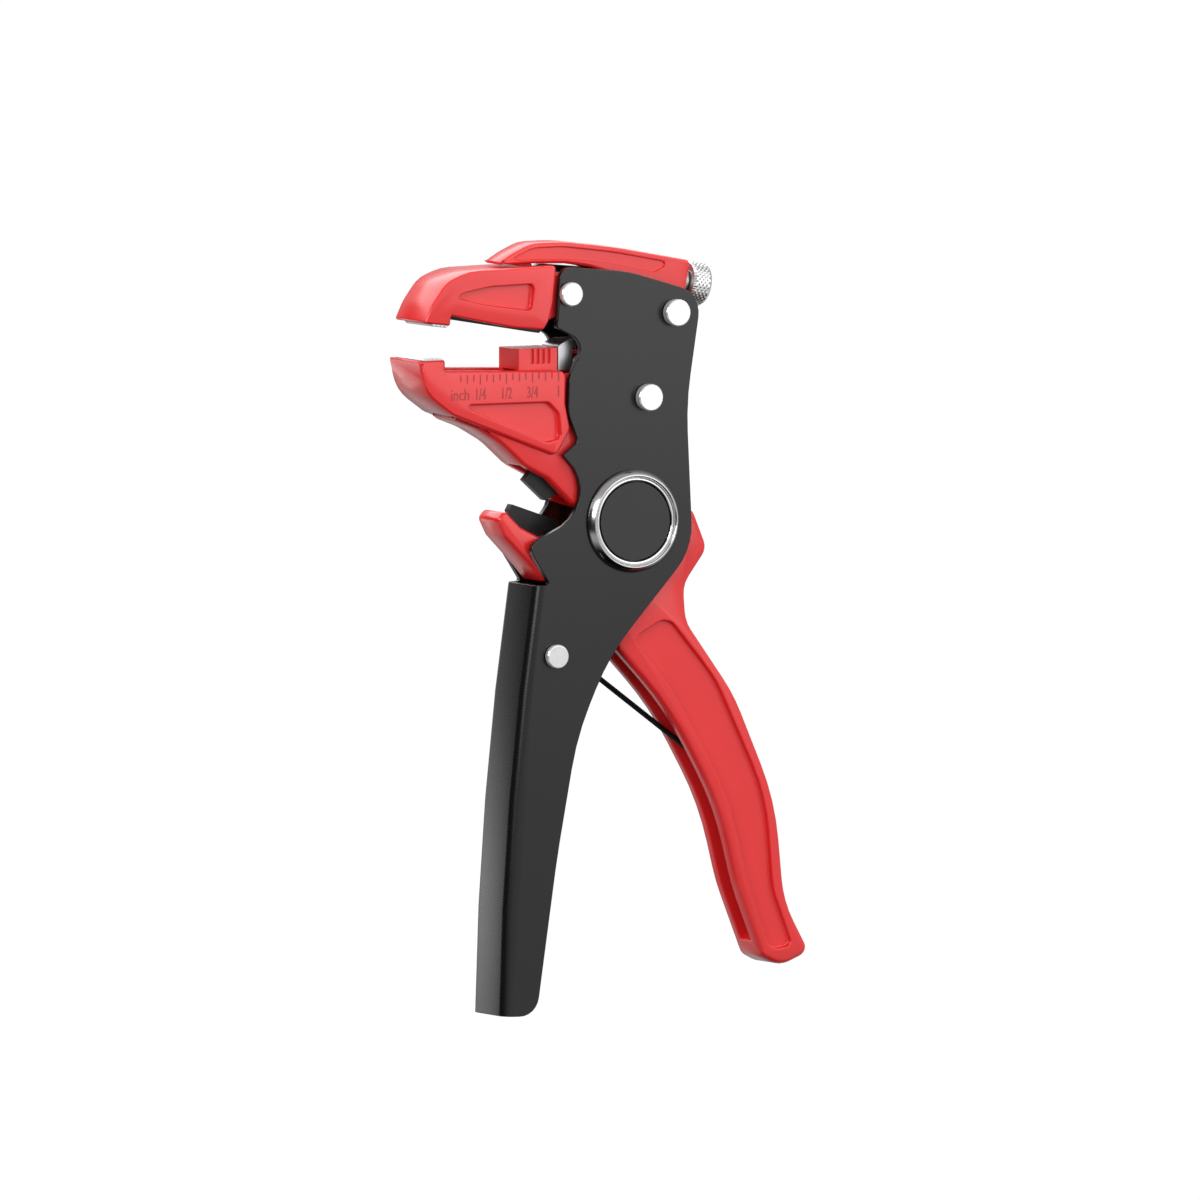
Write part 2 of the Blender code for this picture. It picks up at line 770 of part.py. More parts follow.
def make_cutter():
    """Fixed blade in the lower jaw, moving blade in the handle's nose, and their pins."""
    side = CUTTER_GAP / 2
    fixed = flat(
        "fixed_cutter_blade",
        [
            (-23.7, 9.3, 0), (-18.6, 4.7, 0.3), (-16.6, 5.6, 1.0), (-12.9, 8.4, 1.0),
            (-12.9, 12.2, 1.0), (-20.2, 13.2, 1.0),
        ],
        -side - CUTTER_THICKNESS, -side,
    )
    bore(fixed, "fixed_cutter", FIXED_CUTTER_PIN, CUTTER_PIN_RADIUS + FIT, 16)
    finish(fixed, BLADE_STEEL)
    moving = flat(
        "moving_cutter_blade",
        [
            (-25.4, 4.0, 0), (-26.2, 2.6, 0.4), (-23.2, -4.6, 1.0), (-14.6, -6.4, 1.0),
            (-14.2, 0.1, 0.6),
        ],
        side, side + CUTTER_THICKNESS,
    )
    bore(moving, "moving_cutter", MOVING_CUTTER_PIN, CUTTER_PIN_RADIUS + FIT, 16)
    finish(moving, BLADE_STEEL)
    for name, centre in (
        ("fixed_cutter_pin", FIXED_CUTTER_PIN), ("moving_cutter_pin", MOVING_CUTTER_PIN),
    ):
        pin = round_bar(name, centre, CUTTER_PIN_RADIUS, (-CUTTER_PIN_REACH, CUTTER_PIN_REACH), 16)
        finish(pin, BRIGHT_STEEL)


def blind_bore(obj, name, centre, radius, reach):
    """Round hole along Y that stops short of both sides."""
    cut(obj, round_bar(name, centre, radius, (-reach, reach), 16))


def make_handle():
    """Moving handle: an arm between the jaw's cheeks, a cutter nose and a channelled grip."""
    outer = [
        (*polar(PIVOT, HUB_RADIUS + 0.7, 14.3), 0), (13.2, 3.6, 1.5), (16.5, 1.2, 1.5),
        (19.8, -6.8, 3.5), (14.0, -14.6, 6.0), (14.6, -22.4, 8.0), (26.4, -38.6, 40.0),
        (36.6, -62.0, 55.0), (38.7, -84.0, 24.0), (44.9, -95.3, 2.2), (37.6, -98.3, 6.0),
        (32.9, -95.8, 2.5), (26.6, -80.0, 50.0), (22.4, -63.0, 80.0), (10.3, -41.5, 80.0),
        (-2.2, -28.2, 2.0), (-4.5, -20.0, 6.0), (-9.0, -14.5, 4.0),
        (*polar(PIVOT, HUB_RADIUS + 2.9, 198.4), 0),
    ]
    handle = slab(
        "moving_handle", [*outer, *arc(PIVOT, HUB_RADIUS, 200, 375)], HANDLE_HALF, HANDLE_EDGE
    )
    hub = slab(
        "handle_arm",
        [
            *arc(PIVOT, HUB_RADIUS + 1.2, 150, 380),
            (*swung(12, 0), 3), (*swung(20, 14), 6), (*swung(27, 16.2), 3), (*swung(33, 14), 0),
            *arc(LINK_PIN, ARM_END, 0, 180),
            (*swung(33, 22), 0), (*swung(27, 25.5), 3), (*swung(18, 33), 6),
        ],
        ARM_HALF,
    )
    nose = slab(
        "handle_nose",
        [
            (-6.5, -12.0, 0), (-13.0, -13.4, 3.0), (-20.4, -12.6, 1.0), (-23.2, -9.4, 2.5),
            (-29.8, -2.6, 2.5), (-31.7, 1.2, 1.4), (-29.6, 3.2, 1.2), (-25.6, -0.7, 4.0),
            (-21.0, -3.0, 3.0), (-15.6, -3.3, 4.0), (-10.4, -1.6, 1.0), (-9.2, -2.4, 0),
            *arc(PIVOT, HUB_RADIUS + 0.6, 196, 240),
        ],
        NOSE_HALF,
        NOSE_EDGE,
    )
    join(handle, hub, nose)
    slot = slab(
        "spring_slot",
        [
            (-8.0, -31.0, 0), (0.6, -22.6, 2.0), (14.7 + 2.0, -38.6, 20.0),
            (22.4 + SLOT_DEPTH, -60.0, 20.0), (26.6 + SLOT_DEPTH, -79.0, 12.0),
            (35.4, -90.4, 1.0), (30.6, -93.2, 0), (20, -93.2, 0),
        ],
        SLOT_HALF,
    )
    blade = flat(
        "moving_cutter_space",
        [
            (-25.3, 8.0, 0), (-27.0, 2.6, 0), (-23.5, -5.0, 1.0), (-14.2, -6.9, 1.0),
            (-13.7, 6.0, 0),
        ],
        -CUTTER_GAP / 2, CUTTER_GAP / 2 + CUTTER_THICKNESS + FIT,
    )
    cut(handle, slot, blade)
    panel = [
        (1.2, -25.6, 1.5), (9.6, -21.0, 3.5), (21.4, -35.0, 30.0), (33.8, -61.0, 45.0),
        (35.4, -81.0, 16.0), (40.3, -93.7, 1.4), (34.9, -94.5, 2.5), (29.0, -78.0, 40.0),
        (24.4, -60.0, 60.0), (11.0, -37.0, 40.0),
    ]
    for side, name in ((-1, "near"), (1, "far")):
        depth = sorted((side * (HANDLE_HALF - PANEL_DEPTH), side * (HANDLE_HALF + 1)))
        cut(handle, flat(f"grip_panel_{name}", panel, *depth))
    bore(handle, "handle_pivot", PIVOT, AXLE_RADIUS + FIT, 32)
    bore(handle, "handle_link", LINK_PIN, LINK_PIN_RADIUS + FIT, 20)
    blind_bore(
        handle, "handle_cutter", MOVING_CUTTER_PIN, CUTTER_PIN_RADIUS + FIT,
        CUTTER_PIN_REACH + FIT,
    )
    return finish(handle, RED)


def make_lever():
    """Top lever that presses the upper jaw shut."""
    lever = slab(
        "top_lever",
        [
            (-31.3, 56.15, 0.4), (-27.3, 58.5, 10.0), (-22.6, 60.6, 8.0), (-15.0, 60.7, 30.0),
            (-2.0, 59.1, 60.0), (16.3, 55.6, 0.8), (15.1, 48.4, 0.6),
            *arc(LEVER_PIN, LEVER_BOSS, -5, -150),
            (5.0, 48.6, 4.0), (-3.0, 53.3, 4.0), (-8.5, 55.0, 6.0), (-14.0, 55.9, 6.0),
            (-22.0, 56.15, 0),
        ],
        LEVER_HALF,
        LEVER_EDGE,
    )
    boss = round_bar("lever_boss", LEVER_PIN, LEVER_BOSS, (-CHEEK_OUTER, CHEEK_OUTER))
    join(lever, boss)
    panel = [
        (-27.7, 57.05, 0.5), (-25.7, 58.1, 5.0), (-22.1, 59.55, 6.0), (-15.2, 59.65, 25.0),
        (-3.0, 58.1, 60.0), (11.6, 55.3, 1.0), (7.5, 53.3, 1.5), (-4.5, 55.75, 20.0),
        (-13.1, 56.85, 30.0),
    ]
    for side, name in ((-1, "near"), (1, "far")):
        depth = sorted((side * (LEVER_HALF - LEVER_PANEL_DEPTH), side * (LEVER_HALF + 1)))
        cut(lever, flat(f"lever_panel_{name}", panel, *depth))
    cut(lever, along_knob("screw_bore", SCREW_RADIUS + FIT, -SCREW_LENGTH - 3, 0, 20))
    bore(lever, "lever_pivot", LEVER_PIN, LEVER_SHANK + FIT)
    return finish(lever, RED)


def along_knob(name, radius, start, end, steps):
    """Cylinder on the knob's axis, between two distances from the knob's centre."""
    bm = bmesh.new()
    bmesh.ops.create_cone(
        bm, cap_ends=True, segments=steps, radius1=radius * MM, radius2=radius * MM,
        depth=(end - start) * MM,
    )
    obj = add_object(name, bm)
    place_on_knob(obj, (start + end) / 2)
    return obj


def place_on_knob(obj, distance):
    """Turn an object's Z onto the knob's axis, at a distance from the knob's centre."""
    obj.rotation_euler = (0, math.pi / 2 + KNOB_TILT, 0)
    obj.location = (
        (KNOB_CENTRE[0] + distance * math.cos(KNOB_TILT)) * MM, 0,
        (KNOB_CENTRE[1] - distance * math.sin(KNOB_TILT)) * MM,
    )


def make_knob():
    """Knurled knob with its screw and collar."""
    bm = bmesh.new()
    rings = []
    half = KNOB_LENGTH / 2
    for height, radius in (
        (-half, KNOB_RADIUS - 0.7), (-half + 0.5, KNOB_RADIUS), (half - 0.5, KNOB_RADIUS),
        (half, KNOB_RADIUS - 0.7),
    ):
        ring = []
        for step in range(2 * KNOB_TEETH):
            reach = radius - KNURL_DEPTH * (step % 2)
            turn = math.pi * step / KNOB_TEETH
            spot = (reach * math.cos(turn) * MM, reach * math.sin(turn) * MM, height * MM)
            ring.append(bm.verts.new(spot))
        rings.append(ring)
    for low, high in zip(rings, rings[1:]):
        for step in range(2 * KNOB_TEETH):
            after = (step + 1) % (2 * KNOB_TEETH)
            bm.faces.new((low[step], low[after], high[after], high[step]))
    bm.faces.new(reversed(rings[0]))
    bm.faces.new(rings[-1])
    knob = add_object("adjusting_knob", bm)
    place_on_knob(knob, 0)
    socket = along_knob("knob_socket", SCREW_RADIUS + FIT, -half - 2, half - KNOB_WALL, 20)
    cut(knob, socket)
    finish(knob, BRIGHT_STEEL)
    screw = along_knob(
        "adjusting_screw", SCREW_RADIUS, -half - SCREW_LENGTH, half - KNOB_WALL - FIT, 20
    )
    finish(screw, BRIGHT_STEEL)
    start = -half - FIT - WASHER_THICKNESS
    collar = along_knob("knob_collar", WASHER_RADIUS, start, start + WASHER_THICKNESS, 28)
    cut(collar, along_knob("collar_bore", SCREW_RADIUS + FIT, start - 1, start + 2, 20))
    finish(collar, BRIGHT_STEEL)


def make_spring():
    """Twin torsion spring on its sleeve: two coils joined by a long leg into the grip."""
    turn_step = 2 * math.pi / COIL_STEPS
    count = round(COIL_TURNS * COIL_STEPS)
    tangent = LEG_ANGLE + math.pi / 2
    half = []
    for step in range(count + 1):
        turn = tangent + (count - step) * turn_step
        y = LEG_OFFSET + COIL_PITCH * (count - step) / COIL_STEPS
        x, z = polar(SPRING_PIN, COIL_RADIUS, math.degrees(turn))
        half.append((x, y, z))
    x, _, z = half[-1]
    ahead = (math.cos(LEG_ANGLE), math.sin(LEG_ANGLE))
    half.append((x + LEG_LENGTH * ahead[0], LEG_OFFSET, z + LEG_LENGTH * ahead[1]))
    tip = (LEG_LENGTH + LEG_OFFSET, 0)
    middle = (x + tip[0] * ahead[0], 0, z + tip[0] * ahead[1])
    path = half + [middle] + [(px, -py, pz) for px, py, pz in reversed(half)]
    curve = bpy.data.curves.new("return_spring", "CURVE")
    curve.dimensions = "3D"
    curve.bevel_depth = WIRE_RADIUS * MM
    curve.bevel_resolution = 2
    curve.use_fill_caps = True
    spline = curve.splines.new("POLY")
    spline.points.add(len(path) - 1)
    for point, place in zip(spline.points, path):
        point.co = (*(value * MM for value in place), 1)
    spring = bpy.data.objects.new("return_spring", curve)
    PARTS.objects.link(spring)
    spring = as_mesh(spring)
    finish(spring, SPRING_STEEL)
    inner = SHANK + FIT
    sleeve = turned(
        "spring_sleeve",
        [
            (inner, -CHEEK_OUTER), (SLEEVE_RADIUS, -CHEEK_OUTER), (SLEEVE_RADIUS, CHEEK_OUTER),
            (inner, CHEEK_OUTER), (inner, -CHEEK_OUTER),
        ],
        SPRING_PIN,
        24,
    )
    finish(sleeve, BRIGHT_STEEL)


def make_rivet(name, centre, shank, head, rise):
    """Rivet through both plates with a flat polished head on each side."""
    under = FRAME_WIDTH / 2 + FIT
    top = under + rise
    near = [
        (0, -top), (head - HEAD_CHAMFER, -top), (head, -top + HEAD_CHAMFER), (head, -under),
        (shank, -under),
    ]
    profile = near + [(radius, -y) for radius, y in reversed(near)]
    finish(turned(name, profile, centre, 28), CHROME)


def make_pivot():
    """Main axle, and on each side a raised ring round a plain dished cap."""
    face = FRAME_WIDTH / 2
    axle = turned(
        "main_pivot_axle",
        [(0, -face), (AXLE_RADIUS, -face), (AXLE_RADIUS, face), (0, face)],
        PIVOT,
        32,
    )
    finish(axle, BRIGHT_STEEL)
    under = face + FIT
    for side, name in ((-1, "near"), (1, "far")):
        ring = [
            (RING_INNER, under), (RING_INNER, under + RING_RISE - 0.5),
            (RING_LIP, under + RING_RISE), (RING_OUTER - 0.6, under + RING_RISE),
            (RING_OUTER, under + RING_RISE - 0.6), (RING_OUTER, under), (RING_INNER, under),
        ]
        cap = [
            (0, under), (RING_INNER - FIT, under), (RING_INNER - FIT, under + CAP_RISE),
            (0, under + CAP_RISE),
        ]
        for part, profile, look in (
            (f"pivot_ring_{name}", ring, CHROME), (f"pivot_cap_{name}", cap, CAP_GREY),
        ):
            run = [(radius, side * y) for radius, y in profile]
            finish(turned(part, oriented(run), PIVOT, RING_STEPS), look)


def oriented(profile):
    """Profile reversed if needed, so that its outer side runs from the near side to the far."""
    area = 0
    for (r1, y1), (r2, y2) in zip(profile, profile[1:] + profile[:1]):
        area += r1 * y2 - r2 * y1
    return profile if area > 0 else profile[::-1]


def shapers(obj):
    """An object with every object that its Boolean steps use."""
    found = [obj]
    for step in obj.modifiers:
        if step.type == "BOOLEAN":
            found += shapers(step.object)
    return found


def hang(joint, place, *nodes):
    """Parent nodes, and what shapes them, to an empty on their joint's axis."""
    empty = bpy.data.objects.new(joint, None)
    PARTS.objects.link(empty)
    empty.location = (place[0] * MM, 0, place[1] * MM)
    bpy.context.view_layer.update()
    for node in nodes:
        for obj in shapers(bpy.data.objects[node]):
            obj.parent = empty
            obj.matrix_parent_inverse = empty.matrix_world.inverted()


def main():
    make_frame()
    make_lower_jaw()
    make_upper_jaw()
    make_grips()
    make_blades()
    make_strip_stop()
    make_cutter()
    make_handle()
    make_lever()
    make_knob()
    make_spring()
    make_pivot()
    make_rivet("jaw_rivet", JAW_PIN, SHANK, SMALL_HEAD, SMALL_HEAD_RISE)
    make_rivet("spring_rivet", SPRING_PIN, SHANK, SMALL_HEAD, SMALL_HEAD_RISE)
    make_rivet("lever_rivet", LEVER_PIN, LEVER_SHANK, LARGE_HEAD, LARGE_HEAD_RISE)
    make_rivet("stop_rivet", STOP_PIN, SHANK, LARGE_HEAD, LARGE_HEAD_RISE)
    hang(
        "handle_pivot", PIVOT, "moving_handle", "moving_cutter_blade", "moving_cutter_pin",
        "yoke_pin",
    )
    hang("jaw_pivot", JAW_PIN, "upper_jaw", "upper_grip_insert")
    hang("upper_blade_slide", UPPER_BAR_START, "upper_blade_bar")
    hang("lower_blade_slide", (LOWER_BAR_FRONT, LOWER_BAR_TOP), "lower_blade_bar", "draw_yoke")
    hang("lever_pivot", LEVER_PIN, "top_lever")
    hang("knob_turn", KNOB_CENTRE, "adjusting_knob", "adjusting_screw", "knob_collar")
    hang("stop_slide", (STOP_FRONT, STOP_TOP), "strip_stop")
    hang("spring_turn", SPRING_PIN, "return_spring")


main()
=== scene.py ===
"""Looks of a duckbill wire stripper: finishes, moulded rule, knurled knob and studio.

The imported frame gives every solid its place. Sizes are in metres unless a name or a
comment says millimetres, and MM turns those into metres. The tool's near side is at -Y,
its jaws point to -X, and the main pivot is the origin.
"""
import math

import bmesh
import bpy
from mathutils import Matrix, Vector


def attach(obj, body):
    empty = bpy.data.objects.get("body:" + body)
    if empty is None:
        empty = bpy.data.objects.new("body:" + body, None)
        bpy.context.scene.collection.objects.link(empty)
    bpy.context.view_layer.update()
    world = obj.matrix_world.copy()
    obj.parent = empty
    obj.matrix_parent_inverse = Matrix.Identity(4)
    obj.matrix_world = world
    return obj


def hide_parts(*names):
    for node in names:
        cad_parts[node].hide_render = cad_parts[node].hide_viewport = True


bl_info = {
    "name": "Duckbill Wire Stripper",
    "version": (1, 0, 0),
    "blender": (4, 5, 0),
    "location": "View3D > Sidebar > Stripper",
    "description": "Finishes, small pieces and studio for a duckbill wire stripper",
    "category": "Object",
}

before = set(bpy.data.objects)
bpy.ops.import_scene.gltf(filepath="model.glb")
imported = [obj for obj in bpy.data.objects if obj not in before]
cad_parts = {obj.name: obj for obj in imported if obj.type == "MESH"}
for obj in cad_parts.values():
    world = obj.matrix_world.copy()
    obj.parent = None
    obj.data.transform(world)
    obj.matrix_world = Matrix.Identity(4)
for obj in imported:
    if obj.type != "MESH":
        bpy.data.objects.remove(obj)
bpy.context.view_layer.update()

MM = 0.001
FULL_TURN = 2 * math.pi
QUARTER_TURN = math.pi / 2
NEAR_SIDE = -1
FAR_SIDE = 1
SIDES = {"near": NEAR_SIDE, "far": FAR_SIDE}


class StripperFinish(bpy.types.PropertyGroup):
    """Colours and edges of the tool's own surfaces."""

    red: bpy.props.FloatVectorProperty(
        name="Red", description="Colour of the red mouldings", size=3, subtype="COLOR",
        min=0, max=1, default=(0.74, 0.02, 0.022),
    )
    black: bpy.props.FloatVectorProperty(
        name="Black", description="Colour of the coated sheet steel", size=3,
        subtype="COLOR", min=0, max=1, default=(0.0035, 0.0035, 0.0037),
    )
    chrome: bpy.props.FloatVectorProperty(
        name="Chrome", description="Tint of the bright rivets and the knob", size=3,
        subtype="COLOR", min=0, max=1, default=(0.76, 0.76, 0.765),
    )
    moulded_edge: bpy.props.FloatProperty(
        name="Moulded edge", description="Radius on the red mouldings' small edges",
        default=0.34 * MM, min=0, max=MM, unit="LENGTH",
    )
    sheet_edge: bpy.props.FloatProperty(
        name="Sheet edge", description="Radius on the stamped sheet's edges",
        default=0.22 * MM, min=0, max=MM, unit="LENGTH",
    )
    steel_edge: bpy.props.FloatProperty(
        name="Steel edge", description="Radius on small steel pieces",
        default=0.08 * MM, min=0, max=MM, unit="LENGTH",
    )


class StripperRule(bpy.types.PropertyGroup):
    """The inch rule moulded on both sides of the lower jaw."""

    zero: bpy.props.FloatProperty(
        name="Zero", description="Place of the rule's zero along the jaw",
        default=-43.3 * MM, unit="LENGTH",
    )
    mark_top: bpy.props.FloatProperty(
        name="Mark top", description="Height of the marks' upper ends",
        default=32.9 * MM, unit="LENGTH",
    )
    letter_foot: bpy.props.FloatProperty(
        name="Letter foot", description="Height that the numbers stand at",
        default=27.5 * MM, unit="LENGTH",
    )
    letter_height: bpy.props.FloatProperty(
        name="Letter height", description="Height of the numbers",
        default=2.6 * MM, unit="LENGTH",
    )
    relief: bpy.props.FloatProperty(
        name="Relief", description="Thickness of the marks and numbers",
        default=0.12 * MM, unit="LENGTH",
    )
    # The marks' darker red is painted shade of their moulded relief.
    tone: bpy.props.FloatProperty(
        name="Tone", description="Brightness of the marks against the red of the jaw",
        default=0.5, min=0, max=1,
    )


class StripperStage(bpy.types.PropertyGroup):
    """Camera and light of the product picture."""

    azimuth: bpy.props.FloatProperty(
        name="Azimuth", description="Camera turn round the tool", subtype="ANGLE",
        default=math.radians(-28),
    )
    elevation: bpy.props.FloatProperty(
        name="Elevation", description="Camera height above the horizon",
        subtype="ANGLE", default=math.radians(4.5),
    )
    lens: bpy.props.FloatProperty(
        name="Lens", description="Focal length in millimetres", default=1200, min=20,
    )
    room: bpy.props.FloatProperty(
        name="Room", description="Light from everywhere but the left and the ground",
        default=0.5, min=0,
    )
    back_wall: bpy.props.FloatProperty(
        name="Back wall", description="Light from high up behind the tool",
        default=2.4, min=0,
    )
    front_wall: bpy.props.FloatProperty(
        name="Front wall", description="Light from the front right",
        default=0.25, min=0,
    )
    back_floor: bpy.props.FloatProperty(
        name="Back floor", description="Light from low down behind the tool",
        default=0.15, min=0,
    )
    upper_front: bpy.props.FloatProperty(
        name="Upper front", description="Light from high up in front of the tool",
        default=0.8, min=0,
    )
    pixels_per_mm: bpy.props.FloatProperty(
        name="Picture scale", description="Pixels for a millimetre at the main pivot",
        default=4.63, min=0.1,
    )
    pivot_right: bpy.props.FloatProperty(
        name="Pivot right", description="Main pivot's pixel from the left",
        default=616.3,
    )
    pivot_down: bpy.props.FloatProperty(
        name="Pivot down", description="Main pivot's pixel from the top",
        default=518.6,
    )


class Flow:
    """A value in a shader, so that sums of masks and noises read as sums."""

    def __init__(self, shader, socket):
        self.shader = shader
        self.socket = socket

    def sum(self, operation, *values):
        return self.shader.node("ShaderNodeMath", {"operation": operation}, values)

    def __add__(self, other):
        return self.sum("ADD", self, other)

    __radd__ = __add__

    def __sub__(self, other):
        return self.sum("SUBTRACT", self, other)

    def __rsub__(self, other):
        return self.sum("SUBTRACT", other, self)

    def __mul__(self, other):
        return self.sum("MULTIPLY", self, other)

    __rmul__ = __mul__

    def __pow__(self, power):
        return self.sum("POWER", self, power)

    def step(self, low, high):
        """0 at low, 1 at high, smooth between, and flat beyond both."""
        return self.shader.node(
            "ShaderNodeMapRange",
            {"interpolation_type": "SMOOTHSTEP"},
            {"Value": self, "From Min": low, "From Max": high},
        )


class NodeTree:
    """Nodes added and joined by name."""

    def __init__(self, tree):
        self.tree = tree

    def fill(self, node, values):
        """Give a node's sockets their numbers, colours or links."""
        pairs = values.items() if isinstance(values, dict) else enumerate(values)
        for key, value in pairs:
            if isinstance(value, Flow):
                self.tree.links.new(value.socket, node.inputs[key])
            else:
                node.inputs[key].default_value = value

    def node(self, kind, settings=None, values=(), output=0):
        """Add a node: its settings first, then its sockets, and return one output."""
        node = self.tree.nodes.new(kind)
        for key, value in (settings or {}).items():
            setattr(node, key, value)
        self.fill(node, values)
        return Flow(self, node.outputs[output])

    def axes(self, vector):
        """The X, Y and Z flows of a vector."""
        first = self.node("ShaderNodeSeparateXYZ", {}, (vector,))
        return [Flow(self, first.socket.node.outputs[axis]) for axis in "XYZ"]


class Shader(NodeTree):
    """One material, made of a Principled surface and the nodes that feed it."""

    def __init__(self, name, **surface):
        self.material = bpy.data.materials.new(name)
        self.material.use_nodes = True
        super().__init__(self.material.node_tree)
        self.surface = self.tree.nodes["Principled BSDF"]
        self.feed(**surface)

    def feed(self, **surface):
        """Set sockets of the Principled surface, with _ for a space in their names."""
        values = {key.replace("_", " "): value for key, value in surface.items()}
        self.fill(self.surface, values)

    def place(self, stretch=(1, 1, 1)):
        """Object coordinates, with each axis multiplied."""
        spot = self.node("ShaderNodeTexCoord", output="Object")
        return self.node(
            "ShaderNodeMapping", {}, {"Vector": spot, "Scale": stretch}
        )

    def noise(self, scale, detail=2, stretch=(1, 1, 1)):
        """Noise with this many waves to a metre."""
        values = {"Vector": self.place(stretch), "Scale": scale, "Detail": detail}
        return self.node("ShaderNodeTexNoise", {}, values, "Fac")

    def tint(self, low, high, amount):
        """Colour between low and high."""
        return self.node(
            "ShaderNodeMix", {"data_type": "RGBA"},
            {0: amount, 6: (*low, 1), 7: (*high, 1)}, 2,
        )

    def bump(self, height, distance, strength):
        """Relief of the surface, with its full height as a distance."""
        values = {"Height": height, "Distance": distance, "Strength": strength}
        self.feed(Normal=self.node("ShaderNodeBump", {}, values))


def finish_settings():
    return bpy.context.scene.stripper_finish


def shade(colour, factor):
    """A colour made lighter or darker."""
    return tuple(min(1, channel * factor) for channel in colour)


def red_moulding(name="red_moulding", tone=1.0):
    """Smooth red moulding with a slight orange peel and clouding."""
    # A tone below 1 darkens the red as painted shade. Only the rule's marks use one.
    colour = shade(finish_settings().red, tone)
    look = Shader(name, Coat_Roughness=0.1)
    cloud = look.noise(scale=55, detail=3)
    peel = look.noise(scale=650)
    grain = look.noise(scale=4200)
    look.feed(
        Base_Color=look.tint(shade(colour, 0.9), shade(colour, 1.06), cloud),
        Roughness=0.2 + cloud * 0.06 + grain * 0.05,
        Coat_Weight=0.12 + cloud * 0.1,
    )
    look.bump(peel * 0.8 + grain * 0.2, distance=0.01 * MM, strength=0.2)
    return look.material


def black_sheet():
    """Satin black coat on sheet steel."""
    colour = finish_settings().black
    look = Shader("black_sheet")
    cloud = look.noise(scale=40, detail=3)
    grain = look.noise(scale=3600)
    peel = look.noise(scale=900)
    look.feed(
        Base_Color=look.tint(shade(colour, 0.88), shade(colour, 1.14), cloud),
        Roughness=0.22 + grain * 0.06 + cloud * 0.04,
    )
    look.bump(grain * 0.5 + peel * 0.5, distance=0.005 * MM, strength=0.1)
    return look.material


def bright_chrome(name="bright_chrome", roughness=0.14, metallic=0.55):
    """Hazy bright plating. The rivets' is pale, and the knob's reflects more."""
    colour = finish_settings().chrome
    look = Shader(name, Metallic=metallic)
    haze = look.noise(scale=700, detail=3)
    look.feed(
        Base_Color=look.tint(shade(colour, 0.95), shade(colour, 1.03), haze),
        Roughness=roughness + haze * 0.07,
    )
    look.bump(look.noise(scale=2500), distance=0.004 * MM, strength=0.3)
    return look.material


def ground_steel():
    """Bare ground steel with fine parallel scratches."""
    look = Shader("ground_steel", Metallic=1.0)
    streak = look.noise(scale=500, detail=4, stretch=(1, 14, 14))
    look.feed(
        Base_Color=look.tint((0.42, 0.42, 0.43), (0.7, 0.7, 0.71), streak),
        Roughness=0.24 + streak * 0.2,
    )
    look.bump(streak, distance=0.01 * MM, strength=0.4)
    return look.material


def blackened_steel(name, low, high, roughness):
    """Oil-blackened tool steel, clouded between two dark greys."""
    look = Shader(name, Metallic=0.65)
    cloud = look.noise(scale=350, detail=3)
    streak = look.noise(scale=900, detail=3, stretch=(1, 1, 9))
    look.feed(
        Base_Color=look.tint(low, high, cloud),
        Roughness=roughness + cloud * 0.12 + streak * 0.06,
    )
    look.bump(streak, distance=0.008 * MM, strength=0.4)
    return look.material


# Pivot ring: half of its section as radius and height above the foot, in millimetres.
# An inner lip and an outer hump meet in a valley.
RING_PROFILE = (
    (8.75, 0), (8.75, 0.9), (8.85, 1.05), (9.05, 1.15), (9.25, 1.12), (9.4, 0.95),
    (9.45, 0.8), (9.55, 1.05), (9.65, 1.35), (9.8, 1.6), (9.95, 1.66), (10.15, 1.52),
    (10.5, 1.18), (10.85, 0.75), (11.05, 0.42), (11.15, 0.2), (11.15, 0),
)
RING_FOOT = 7.8 * MM
RING_VALLEY = 9.45 * MM
RING_BLEND = 0.1 * MM
RING_STEPS = 96
RING_SHARP = math.radians(60)


def ring_finish():
    """Dark plated outer band round a bright inner lip."""
    look = Shader("ring_finish", Metallic=1.0)
    across, _, upward = look.axes(look.place())
    radius = (across * across + upward * upward) ** 0.5
    band = radius.step(RING_VALLEY - RING_BLEND, RING_VALLEY + RING_BLEND)
    haze = look.noise(scale=900)
    look.feed(
        Base_Color=look.tint((0.8, 0.8, 0.8), (0.55, 0.55, 0.56), band),
        Roughness=0.08 + band * 0.08 + haze * 0.04,
    )
    return look.material


def cap_finish():
    """Matt dark grey disc."""
    look = Shader("cap_finish")
    grain = look.noise(scale=3000)
    cloud = look.noise(scale=120)
    look.feed(
        Base_Color=look.tint((0.010, 0.010, 0.0105), (0.015, 0.015, 0.0155), cloud),
        Roughness=0.4 + grain * 0.12,
    )
    look.bump(grain, distance=0.01 * MM, strength=0.4)
    return look.material


# Distance at which a solid's points are merged. The lever's tip and the upper jaw's
# edges need the wide one, or their roundings spike.
FINE_WELD = 0.002 * MM
WIDE_WELD = 0.06 * MM

# Body, share of the moulded edge's radius that the node has room for, and weld.
RED_NODES = {
    "lower_jaw": ("frame", 1.0, FINE_WELD),
    "upper_jaw": ("upper_jaw", 0.8, WIDE_WELD),
    "top_lever": ("lever", 0.5, WIDE_WELD),
    "moving_handle": ("handle", 1.0, FINE_WELD),
    "strip_stop": ("stop", 0.5, FINE_WELD),
}
STEEL_NODES = {
    "upper_grip_insert": "upper_jaw", "lower_grip_insert": "frame",
    "draw_yoke": "lower_blade", "yoke_pin": "handle", "fixed_cutter_pin": "frame",
    "moving_cutter_pin": "handle", "main_pivot_axle": "frame", "spring_sleeve": "frame",
    "adjusting_screw": "adjuster", "knob_collar": "adjuster",
}
BLADE_NODES = {
    "upper_blade_bar": "upper_blade", "lower_blade_bar": "lower_blade",
    "fixed_cutter_blade": "frame", "moving_cutter_blade": "handle",
}
RIVET_NODES = ("jaw_rivet", "lever_rivet", "stop_rivet", "spring_rivet")

